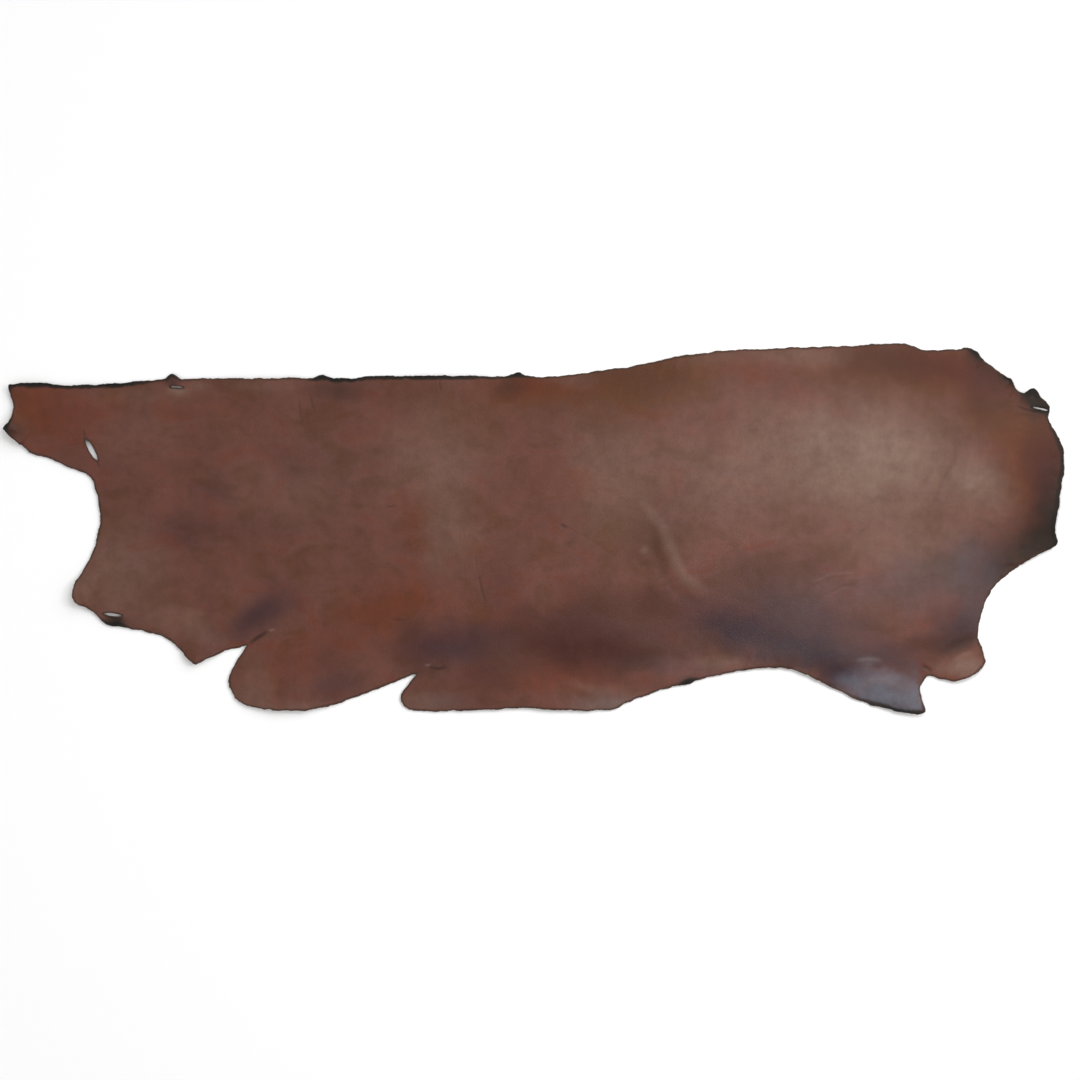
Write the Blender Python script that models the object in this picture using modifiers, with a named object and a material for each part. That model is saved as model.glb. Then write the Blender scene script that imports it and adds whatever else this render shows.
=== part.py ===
"""A leather side: half of a tanned cow hide, lying grain side up on a flat surface.

The back line of the animal runs along +Y, the neck is at -X and the butt at +X. The belly edge, with
its two flank flaps and the two shanks, is at -Y. The origin is on the surface that the hide lies on,
under the middle of its outline. It is one cut sheet of even thickness: flat where it touches, raised
where the skin was never flat, and cut through by the slits that the drying frame's clips tore.
"""

import math
from collections import namedtuple

import bmesh
import bpy
import numpy as np
from mathutils import Vector, noise
from mathutils.geometry import delaunay_2d_cdt

# Driving sizes, in metres
THICKNESS = 0.0025
CM = 0.01  # the tables below are in centimetres, as a hide is measured on the bench

# Edge of the cut
EDGE_STEP = 0.015  # between points along the trimmed edge
EAR_PARTS = 3  # parts that a step is cut into at an ear
SLIT_STEPS = 5  # points along each side of a slit
CURVE_STEPS = 12  # points between two landmarks before the edge is spaced evenly
WOBBLE_HEIGHT = 0.0016  # how far the knife strayed
WOBBLE_PITCH = 0.045

# Spacing of the sheet's inner points
COARSE_PITCH = 0.034
FINE_PITCH = 0.017
EDGE_CLEARANCE = 0.62  # share of the pitch kept free beside an edge

LEATHER_COLOUR = (0.165, 0.068, 0.048, 1.0)
LEATHER_ROUGHNESS = 0.55

# A landmark on the trimmed edge. along is from the neck's end towards the butt, down is from the
# highest point of the back towards the belly, and sharp says that the knife turned a corner there.
Landmark = namedtuple("Landmark", "along down sharp")

BACK_LINE = (
    Landmark(0.8, 9.6, True),
    Landmark(8.0, 9.2, False),
    Landmark(13.0, 9.7, False),
    Landmark(20.5, 9.7, False),
    Landmark(34.5, 8.7, False),
    Landmark(50.0, 8.2, False),
    Landmark(70.0, 8.1, False),
    Landmark(81.0, 8.1, False),
    Landmark(91.0, 7.6, False),
    Landmark(112.0, 7.6, False),
    Landmark(124.0, 7.9, False),
    Landmark(134.0, 7.4, False),
    Landmark(141.5, 6.2, False),
    Landmark(148.5, 5.3, False),
    Landmark(158.0, 3.2, False),
    Landmark(169.0, 1.8, False),
    Landmark(181.0, 1.2, False),
    Landmark(191.5, 0.8, False),
    Landmark(200.0, 0.6, False),
    Landmark(206.0, 0.1, False),
    Landmark(213.5, 0.2, False),
    Landmark(216.0, 1.5, False),
    Landmark(221.0, 1.5, False),
    Landmark(227.5, 1.1, True),
)
BUTT = (
    Landmark(231.4, 4.6, False),
    Landmark(236.5, 8.6, False),
    Landmark(239.5, 11.6, False),
    Landmark(243.0, 12.4, False),
    Landmark(246.4, 15.0, False),
    Landmark(245.7, 17.3, False),
    Landmark(246.6, 19.7, False),
    Landmark(249.0, 23.5, False),
    Landmark(249.6, 28.0, False),
    Landmark(248.5, 36.0, False),
    Landmark(247.4, 44.0, False),
    Landmark(248.2, 47.4, True),
)
HIND_SHANK = (
    Landmark(242.3, 50.3, False),
    Landmark(235.8, 54.8, False),
    Landmark(232.4, 58.4, False),
    Landmark(230.8, 61.6, False),
    Landmark(229.9, 65.0, False),
    Landmark(229.4, 69.0, False),
    Landmark(231.4, 75.0, True),
    Landmark(227.0, 78.7, False),
    Landmark(222.0, 79.3, False),
    Landmark(217.7, 77.8, True),
    Landmark(215.7, 81.0, False),
    Landmark(217.2, 86.7, True),
    Landmark(214.5, 87.4, False),
    Landmark(208.5, 86.1, False),
    Landmark(203.0, 84.6, False),
    Landmark(198.6, 82.7, False),
    Landmark(193.0, 79.9, False),
)
BELLY = (
    Landmark(185.0, 76.6, False),
    Landmark(179.0, 76.4, False),
    Landmark(168.0, 78.1, False),
    Landmark(159.0, 80.3, False),
    Landmark(151.0, 82.8, False),
    Landmark(147.5, 84.2, False),
    Landmark(144.0, 86.0, False),
    Landmark(139.0, 86.3, False),
    Landmark(129.0, 86.2, False),
    Landmark(122.5, 85.6, False),
    Landmark(117.5, 86.0, False),
    Landmark(106.0, 86.3, False),
    Landmark(97.5, 86.3, False),
    Landmark(94.4, 85.6, False),
    Landmark(93.6, 83.7, False),
    Landmark(95.0, 80.5, False),
    Landmark(97.8, 77.4, True),
    Landmark(87.5, 81.5, False),
    Landmark(78.0, 84.9, False),
    Landmark(73.5, 86.1, False),
    Landmark(67.0, 86.4, False),
    Landmark(61.0, 85.9, False),
    Landmark(55.4, 84.2, False),
    Landmark(53.2, 80.0, False),
    Landmark(54.3, 75.8, False),
    Landmark(58.0, 70.8, True),
)
FORE_SHANK = (
    Landmark(50.5, 73.1, False),
    Landmark(45.2, 75.9, True),
    Landmark(42.2, 72.6, False),
    Landmark(38.0, 69.1, False),
    Landmark(31.0, 67.3, False),
    Landmark(27.5, 66.6, False),
    Landmark(24.6, 66.3, False),
    Landmark(22.9, 65.0, False),
    Landmark(21.0, 62.9, False),
    Landmark(16.3, 60.2, False),
    Landmark(16.2, 58.5, False),
    Landmark(20.5, 50.4, False),
    Landmark(22.7, 43.2, False),
    Landmark(22.9, 39.0, False),
    Landmark(21.9, 35.2, False),
    Landmark(20.3, 31.3, False),
)
NECK = (
    Landmark(15.5, 29.2, False),
    Landmark(12.2, 27.7, False),
    Landmark(9.7, 26.5, False),
    Landmark(7.6, 26.3, False),
    Landmark(5.0, 24.6, False),
    Landmark(0.0, 20.3, True),
    Landmark(2.4, 15.9, False),
    Landmark(1.8, 12.0, False),
)
TRIMMED_EDGE = BACK_LINE + BUTT + HIND_SHANK + BELLY + FORE_SHANK + NECK

# An ear is where a clip of the drying frame bit the edge and drew it out. reach is how far it stands
# out of the trimmed edge, and width is how long a stretch of the edge it takes.
Ear = namedtuple("Ear", "name along down reach width")

EARS = (
    Ear("withers", 39.8, 8.5, 1.4, 4.6),
    Ear("back", 75.0, 8.1, 0.7, 5.5),
    Ear("loin", 121.0, 7.8, 1.1, 6.0),
    Ear("rump_corner", 229.0, 2.4, 0.5, 3.5),
    Ear("rump", 236.6, 8.7, 0.5, 3.5),
    Ear("butt", 242.0, 12.2, 1.6, 5.0),
    Ear("flank", 161.2, 79.7, 0.5, 4.5),
)

# A slit is where a clip tore through. turn is in degrees from the back line, counter-clockwise.
Slit = namedtuple("Slit", "name along down length width turn")

SLITS = (
    Slit("neck_slit", 20.8, 25.0, 6.0, 1.2, -61.0),
    Slit("withers_slit", 40.9, 10.3, 3.0, 0.6, -2.0),
    Slit("butt_slit", 243.9, 15.4, 3.8, 0.7, -12.0),
    Slit("fore_shank_slit", 25.8, 63.8, 4.4, 0.8, -6.0),
)

# A fold is a soft swell or curl of the sheet off the surface: its middle, its full length and width,
# its height, and the turn of its length. A fold centred on the edge or past it lifts the edge.
# Folds marked fine are narrow, and the sheet has closer points there.
Fold = namedtuple("Fold", "name along down length width height turn fine")

FOLDS = (
    Fold("butt_pillow", 201.0, 22.0, 84.0, 46.0, 2.2, 172.0, False),
    Fold("haunch_swell", 229.0, 34.0, 30.0, 20.0, 1.3, 69.0, False),
    Fold("butt_rim_roll", 240.5, 36.0, 48.0, 22.0, 2.4, 94.0, False),
    Fold("rump_corner_curl", 236.0, 9.0, 30.0, 12.0, 1.4, 144.0, False),
    Fold("flank_crease", 157.5, 47.5, 30.0, 8.0, 0.8, 124.0, True),
    Fold("flank_knuckle", 150.8, 49.0, 10.0, 7.0, 0.6, 110.0, True),
    Fold("belly_edge_lift", 180.0, 80.0, 44.0, 20.0, 1.9, 8.0, False),
    Fold("hind_shank_fold", 200.0, 76.0, 44.0, 14.0, 1.6, 152.0, False),
    Fold("hind_tip_curl", 214.0, 89.0, 26.0, 16.0, 2.6, 160.0, False),
    Fold("hock_curl", 227.0, 80.0, 24.0, 18.0, 2.2, 35.0, False),
    Fold("long_flap_lift", 130.0, 88.0, 46.0, 18.0, 1.5, 3.0, False),
    Fold("long_flap_swell", 108.0, 80.0, 34.0, 16.0, 1.2, 174.0, False),
    Fold("short_flap_lift", 66.0, 88.0, 34.0, 20.0, 1.8, 4.0, False),
    Fold("short_flap_root", 61.0, 72.0, 16.0, 9.0, 0.9, 47.0, True),
    Fold("long_flap_root", 103.0, 76.0, 18.0, 9.0, 0.9, 170.0, True),
    Fold("brisket_tip_curl", 45.0, 78.0, 20.0, 16.0, 1.9, 90.0, False),
    Fold("elbow_curl", 15.0, 59.0, 16.0, 20.0, 2.2, 75.0, False),
    Fold("fore_shank_swell", 30.0, 54.0, 30.0, 20.0, 1.1, 60.0, False),
    Fold("neck_tip_curl", -2.0, 20.0, 18.0, 22.0, 3.2, 92.0, False),
    Fold("neck_corner_curl", 2.0, 8.0, 22.0, 12.0, 1.6, 8.0, False),
    Fold("neck_swell", 18.0, 18.0, 26.0, 16.0, 1.1, 160.0, False),
    Fold("shoulder_swell", 55.0, 34.0, 50.0, 26.0, 1.3, 20.0, False),
    Fold("rib_swell", 92.0, 30.0, 56.0, 24.0, 1.0, 165.0, False),
    Fold("red_flank_swell", 96.0, 60.0, 36.0, 20.0, 1.1, 25.0, False),
    Fold("loin_swell", 140.0, 24.0, 52.0, 26.0, 1.2, 12.0, False),
    Fold("belly_swell", 148.0, 72.0, 44.0, 18.0, 1.2, 165.0, False),
    Fold("back_wave_fore", 62.0, 6.0, 34.0, 12.0, 1.2, 2.0, False),
    Fold("back_wave_mid", 104.0, 6.0, 38.0, 12.0, 1.4, 178.0, False),
    Fold("back_wave_loin", 160.0, 1.0, 34.0, 14.0, 1.1, 14.0, False),
    Fold("back_wave_rump", 205.0, -2.0, 36.0, 14.0, 1.2, 178.0, False),
)


def clear_scene():
    for old in list(bpy.data.objects):
        bpy.data.objects.remove(old)


def on_bench(along, down):
    """A point of the tables, in metres, with the back line towards +Y."""
    return Vector((along * CM, -down * CM))


def bump(t):
    """A soft hill: 1 in its middle, and level with the ground at 1 and beyond."""
    return 0.5 * (1 + math.cos(math.pi * min(abs(t), 1.0)))


def trim_curve():
    """The landmarks joined as a closed 2D curve, smooth but for the sharp corners."""
    data = bpy.data.curves.new("trim_line", "CURVE")
    data.dimensions = "2D"
    data.fill_mode = "NONE"
    data.resolution_u = CURVE_STEPS
    spline = data.splines.new("BEZIER")
    spline.bezier_points.add(len(TRIMMED_EDGE) - 1)
    spline.use_cyclic_u = True
    for knot, landmark in zip(spline.bezier_points, TRIMMED_EDGE):
        knot.co = on_bench(landmark.along, landmark.down).to_3d()
        handle = "VECTOR" if landmark.sharp else "AUTO"
        knot.handle_left_type = handle
        knot.handle_right_type = handle
    line = bpy.data.objects.new("trim_line", data)
    line.hide_render = True
    line.display_type = "WIRE"
    return line


def points_along(line):
    """The curve's own points, in order."""
    bpy.context.view_layer.update()
    graph = bpy.context.evaluated_depsgraph_get()
    mesh = bpy.data.meshes.new_from_object(line.evaluated_get(graph))
    points = [vertex.co.to_2d() for vertex in mesh.vertices]
    bpy.data.meshes.remove(mesh)
    return points


def evenly_spaced(points):
    """The closed line again, with points EDGE_STEP apart and every sharp corner kept."""
    corners = [on_bench(mark.along, mark.down) for mark in TRIMMED_EDGE if mark.sharp]
    is_corner = [min((p - c).length for c in corners) < 1e-5 for p in points]
    start = is_corner.index(True)
    order = [(start + i) % len(points) for i in range(len(points) + 1)]
    spaced = []
    stretch = [points[order[0]]]
    for i in order[1:]:
        stretch.append(points[i])
        if is_corner[i]:
            spaced += divided(stretch)
            stretch = [points[i]]
    return spaced


def divided(stretch):
    """Points at even steps along an open stretch, without its last one, and closer at the ears."""
    lengths = [(b - a).length for a, b in zip(stretch, stretch[1:])]
    along = np.concatenate([[0.0], np.cumsum(lengths)])

    def point_at(distance):
        across = np.interp(distance, along, [p.x for p in stretch])
        return Vector((across, np.interp(distance, along, [p.y for p in stretch])))

    steps = np.linspace(0.0, along[-1], max(1, round(along[-1] / EDGE_STEP)) + 1)
    points = []
    for start, end in zip(steps, steps[1:]):
        parts = EAR_PARTS if max(ear_share(ear, point_at((start + end) / 2)) for ear in EARS) > 0 else 1
        points += [point_at(distance) for distance in np.linspace(start, end, parts, endpoint=False)]
    return points


def ear_share(ear, point):
    """How far out of the edge an ear draws a point, from 0 beside it to 1 at its tip."""
    distance = (point - on_bench(ear.along, ear.down)).length
    return bump(distance / (ear.width * CM / 2))


def pulled_out(points):
    """The edge with its ears drawn out and the knife's wobble in it. The edge runs clockwise."""
    moved = []
    for before, point, after in zip(points[-1:] + points, points, points[1:] + points[:1]):
        run = (after - before).normalized()
        outward = Vector((-run.y, run.x))
        push = WOBBLE_HEIGHT * noise.noise(point.to_3d() / WOBBLE_PITCH)
        push += sum(ear.reach * CM * ear_share(ear, point) for ear in EARS)
        moved.append(point + outward * push)
    return moved


def slit_edge(slit):
    """A lens with pointed ends and fairly straight sides."""
    centre = on_bench(slit.along, slit.down)
    turn = math.radians(slit.turn)
    run = Vector((math.cos(turn), math.sin(turn)))
    across = Vector((-run.y, run.x))
    edge = []
    for side in (1, -1):
        for step in range(SLIT_STEPS):
            t = side * (1 - 2 * step / SLIT_STEPS)
            edge.append(
                centre
                + run * (t * slit.length * CM / 2)
                + across * (side * (1 - abs(t) ** 3) * slit.width * CM / 2)
            )
    return edge


def fold_share(fold, point):
    """How far up a fold a point is, from 0 past its foot to 1 at its middle."""
    turn = math.radians(fold.turn)
    away = point - on_bench(fold.along, fold.down)
    along = away.x * math.cos(turn) + away.y * math.sin(turn)
    across = away.y * math.cos(turn) - away.x * math.sin(turn)
    return bump(math.hypot(along / (fold.length * CM / 2), across / (fold.width * CM / 2)))


def lift(point):
    """How high the sheet's underside is over the surface."""
    return sum(fold.height * CM * fold_share(fold, point) for fold in FOLDS)


def is_inside(point, edge_start, edge_end):
    """Whether a point is within a closed line, by the crossings of a ray towards +X."""
    above_start = edge_start[:, 1] > point.y
    above_end = edge_end[:, 1] > point.y
    crosses = above_start != above_end
    start, end = edge_start[crosses], edge_end[crosses]
    at = start[:, 0] + (point.y - start[:, 1]) * (end[:, 0] - start[:, 0]) / (end[:, 1] - start[:, 1])
    return np.count_nonzero(at > point.x) % 2 == 1


def lattice(pitch):
    """Points in staggered rows over the whole bench."""
    row_height = pitch * math.sqrt(3) / 2
    length = max(mark.along for mark in TRIMMED_EDGE) * CM
    depth = max(mark.down for mark in TRIMMED_EDGE) * CM
    for row in range(int(depth / row_height) + 2):
        for column in range(int(length / pitch) + 2):
            yield Vector(((column + row % 2 / 2) * pitch, -row * row_height))


def inner_points(edges):
    """The sheet's points between its edges, closer together on the narrow folds."""
    starts = np.concatenate([np.array(edge) for edge in edges])
    ends = np.concatenate([np.roll(np.array(edge), -1, axis=0) for edge in edges])
    found = []
    for pitch, wanted in ((COARSE_PITCH, False), (FINE_PITCH, True)):
        for point in lattice(pitch):
            on_fine = any(fold.fine and fold_share(fold, point) > 0 for fold in FOLDS)
            near = np.hypot(*(starts - np.array(point)).T).min() < EDGE_CLEARANCE * pitch
            if on_fine is wanted and not near and is_inside(point, starts, ends):
                found.append(point)
    return found


def flat_sheet(edges):
    """The sheet as one layer of triangles that keeps every edge, raised onto its folds."""
    points = []
    rim = []
    for edge in edges:
        first = len(points)
        points += edge
        rim += [(first + i, first + (i + 1) % len(edge)) for i in range(len(edge))]
    points += inner_points(edges)
    inside_only = 1
    placed, _, triangles, *_ = delaunay_2d_cdt(points, rim, [], inside_only, 1e-7)
    holes = [(np.array(edge), np.roll(np.array(edge), -1, axis=0)) for edge in edges[1:]]
    kept = []
    for triangle in triangles:
        middle = sum((placed[i] for i in triangle), Vector((0, 0))) / 3
        if not any(is_inside(middle, *hole) for hole in holes):
            kept.append(triangle)
    mesh = bpy.data.meshes.new("leather_side")
    mesh.from_pydata([(p.x, p.y, lift(p)) for p in placed], [], kept)
    return mesh


def facing_up(mesh):
    """Turns the single layer's faces grain side up."""
    work = bmesh.new()
    work.from_mesh(mesh)
    bmesh.ops.delete(work, geom=[v for v in work.verts if not v.link_faces], context="VERTS")
    for face in work.faces:
        if face.normal.z < 0:
            face.normal_flip()
    work.to_mesh(mesh)
    work.free()


def centred(mesh):
    """Puts the origin on the surface, under the middle of the outline."""
    across = [vertex.co.x for vertex in mesh.vertices]
    up = [vertex.co.y for vertex in mesh.vertices]
    middle = Vector(((min(across) + max(across)) / 2, (min(up) + max(up)) / 2, 0.0))
    for vertex in mesh.vertices:
        vertex.co -= middle


def leather_material():
    material = bpy.data.materials.new("brown_leather")
    material.use_nodes = True
    finish = material.node_tree.nodes["Principled BSDF"]
    finish.inputs["Base Color"].default_value = LEATHER_COLOUR
    finish.inputs["Roughness"].default_value = LEATHER_ROUGHNESS
    finish.inputs["Metallic"].default_value = 0.0
    return material


def leather_side(line):
    edges = [pulled_out(evenly_spaced(points_along(line)))]
    edges += [slit_edge(slit) for slit in SLITS]
    mesh = flat_sheet(edges)
    facing_up(mesh)
    centred(mesh)
    mesh.materials.append(leather_material())
    mesh.shade_smooth()
    side = bpy.data.objects.new("leather_side", mesh)
    skin = side.modifiers.new("thickness", "SOLIDIFY")
    skin.thickness = THICKNESS
    skin.offset = 1.0
    skin.use_even_offset = True
    skin.use_quality_normals = True
    return side


def main():
    clear_scene()
    guides = bpy.data.collections.new("guides")
    hide = bpy.data.collections.new("leather_side")
    for collection in (guides, hide):
        bpy.context.scene.collection.children.link(collection)
    line = trim_curve()
    guides.objects.link(line)
    hide.objects.link(leather_side(line))


main()
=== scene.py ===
"""Dresses the leather side with its grain, dye, painted sheen and shade, creases and cut edge, and sets
the studio it lies in.

Places on the hide are given as on the bench, in centimetres: along, from the neck's end towards the
butt, and down, from the highest point of the back towards the belly.
"""

import math
from collections import namedtuple

import bmesh
import bpy
import numpy as np
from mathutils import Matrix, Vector, kdtree, noise
from mathutils.bvhtree import BVHTree


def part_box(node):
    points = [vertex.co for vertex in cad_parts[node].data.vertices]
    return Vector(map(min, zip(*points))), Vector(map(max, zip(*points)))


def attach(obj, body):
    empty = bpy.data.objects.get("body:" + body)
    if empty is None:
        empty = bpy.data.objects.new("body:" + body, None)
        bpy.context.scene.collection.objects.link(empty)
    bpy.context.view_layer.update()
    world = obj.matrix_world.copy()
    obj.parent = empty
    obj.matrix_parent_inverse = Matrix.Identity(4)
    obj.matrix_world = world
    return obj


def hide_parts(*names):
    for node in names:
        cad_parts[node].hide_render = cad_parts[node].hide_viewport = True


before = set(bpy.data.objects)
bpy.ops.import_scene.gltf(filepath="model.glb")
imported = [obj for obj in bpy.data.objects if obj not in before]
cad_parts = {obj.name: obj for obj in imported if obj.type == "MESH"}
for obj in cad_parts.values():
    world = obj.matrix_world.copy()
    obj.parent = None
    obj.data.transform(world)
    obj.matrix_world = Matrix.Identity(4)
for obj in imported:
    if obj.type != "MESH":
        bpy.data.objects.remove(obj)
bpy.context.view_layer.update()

bl_info = {
    "name": "Leather side",
    "version": (1, 0, 0),
    "blender": (4, 5, 0),
    "location": "3D View > Sidebar > Leather side",
    "description": "Models and finishes half of a tanned cow hide, and lights it from above",
    "category": "Object",
}

NODE = "leather_side"
LOW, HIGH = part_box(NODE)
CM = 0.01
MM_IN_METRE = 1000
NOISE_SEED = 4  # without one, vector noise is another at each run

# Making the sheet. Lengths are in metres.
MERGE = 1e-5  # the solid's triangles share no corners until they are merged
TOP_FACES = 0.5  # the grain side is what faces up by more than this
FACET_ROUNDS = 2  # smoothing of the solid's facets
CUT_ROUNDS = 3  # smoothing of the outline
CORNER_PULL = 0.4  # how far a corner of the outline moves to its neighbours in a round
SLIT_GUARD = 0.036  # this near a slit's middle the outline stays as the solid has it
FINE_CUTS = 3  # cuts through each coarse square
SHORTEST_EDGE = 0.0015
SHEET_ROUNDS = 34  # smoothing of the sheet's heights
# Creases narrower than the first number, in millimetres, are cut finer to this far beside them,
# where an edge is longer than the last.
FINER_AT_CREASES = ((60, 0.004, 0.0055), (20, 0.001, 0.003))
SHORTEST_FINE_EDGE = 0.0004
CREASE_ROUNDS = 3  # smoothing of heights after the finer cuts
CREASE_END_DROP = 0.75  # how much of its height a crease has lost at its ends
UNFOLD_ROUNDS = 12
TURNED_OVER = 0.3  # a face that looks up by less than this is spread out again

# The cut is frayed by two noises, up to a reach from the edge, and less beside the slits.
FRAY_PITCH = 0.021
FINE_FRAY_PITCH = 0.0065
FINE_FRAY_SHARE = 0.5
FRAY_REACH = 0.016
SLIT_FRAY_SHARE = 0.2
SLIT_FRAY_GUARD = 0.042

# A slit is drawn together over these shares of its lip's length and width.
DRAWN_LENGTH = 0.6
DRAWN_WIDTH = 0.5

# The slow unevenness has quicker swells on it: their pitch and height as shares of the slow ones.
QUICK_SWELL_PITCH = 0.36
QUICK_SWELL_HEIGHT = 0.25
DEEPEST_SWELL = 0.5  # share of the swell's height below which the floor flattens it

# Dye runs out of its clouds by three noises: the pitch of each, and its share of the drift.
DRIFTS = ((0.16, 0.6), (0.055, 0.6), (0.02, 0.35))
SMALL_CLOUD = 7  # clouds narrower than this, in centimetres, keep near their place
SMALL_CLOUD_DRIFT = 0.12
CLOUD_FALL = 1.6  # a cloud's length and width over this are its reach from its middle

WORN_RIM = 0.0005
WORN_ANGLE = math.radians(60)
RIM_STEPS = 4  # places on each edge of the cut that distances are taken from

# Finishing the sheet
SPECULAR = 0.20
SLOW_DYE, QUICK_DYE = 7.0, 38.0  # patches of dye in a metre
DYE_STREAKS = (26.0, 5.0, 10.0)  # streaks in a metre, along each axis
DYE_SHARES = (0.4, 0.4, 0.2)  # of slow patches, quick patches and streaks
DYE_WARMTH = (9.0, 13.0, 9.0)
# Pebbles come in three sizes: how many for each one of the grain, and how high.
PEBBLES = ((0.35, 0.45), (1.0, 0.4), (2.3, 0.15))
PEBBLE_DOME = 0.28  # how far from its edge a pebble is level, as a share of its size
PORE_WIDTH = 0.12
PORE_STRENGTH = 0.22
# painted highlight on the creases' ridges, and painted shade in their hollows
CREST_PAINTED_HIGHLIGHT = 0.85
HOLLOW_PAINTED_SHADE = 0.75
RIM_SHADOW_WIDENING = 2.5  # how many times wider the rim is where it is near-black painted shadow
PULL_SCALE = (46.0, 30.0, 30.0)  # soft unevenness of the grain's face in a metre
PULL_DEPTH = 0.0007
FLESH_DEPTH, FLESH_FIBRES = 0.0006, 700.0  # depth in metres, and fibres in a metre
CUT_DEPTH, CUT_FIBRES = 0.0002, 1600.0
CLUMPS = 0.12  # clumps of fibres for each fibre
FIBRE_SHARE = 0.6  # a fibre's height as a share of a clump's
FIBRE_SHADE = 0.62  # brings the summed heights to shades about 0.5
RIM_ROUGHNESS, WAX_SHINE = 0.2, 0.08  # added to the skin's roughness, and taken off it

# Ramps: what they read, from and to, then what they give for it.
YELLOWER = (0.42, 0.68, 0.0, 0.55)
REDDER = (0.50, 0.30, 0.0, 0.45)
PATCHY = (0.30, 0.62, 0.72, 1.12)
LIGHTER = (0.28, 0.72, 0.85, 1.15)
UNEVEN_RIM = (0.35, 0.65, 0.55, 1.35)
RIM_FALL = (1.0, 0.4, 0.0, 1.0)
RIM_STRENGTH = (0.0, 0.7, 0.74, 1.0)
SMOOTHER = (0.30, 0.70, 0.50, 0.40)
NAP_SHADE = (0.35, 0.65, 0.7, 1.25)
NAP_PATCHES = (0.40, 0.62, 0.0, 0.5)

# A crease is a soft ridge, or a hollow where height is below zero, along a line of a few places.
# width and height are in millimetres. shade is how strong the painted highlight on its skin is, or
# below zero the painted shade.
Crease = namedtuple("Crease", "path width height shade")

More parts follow.
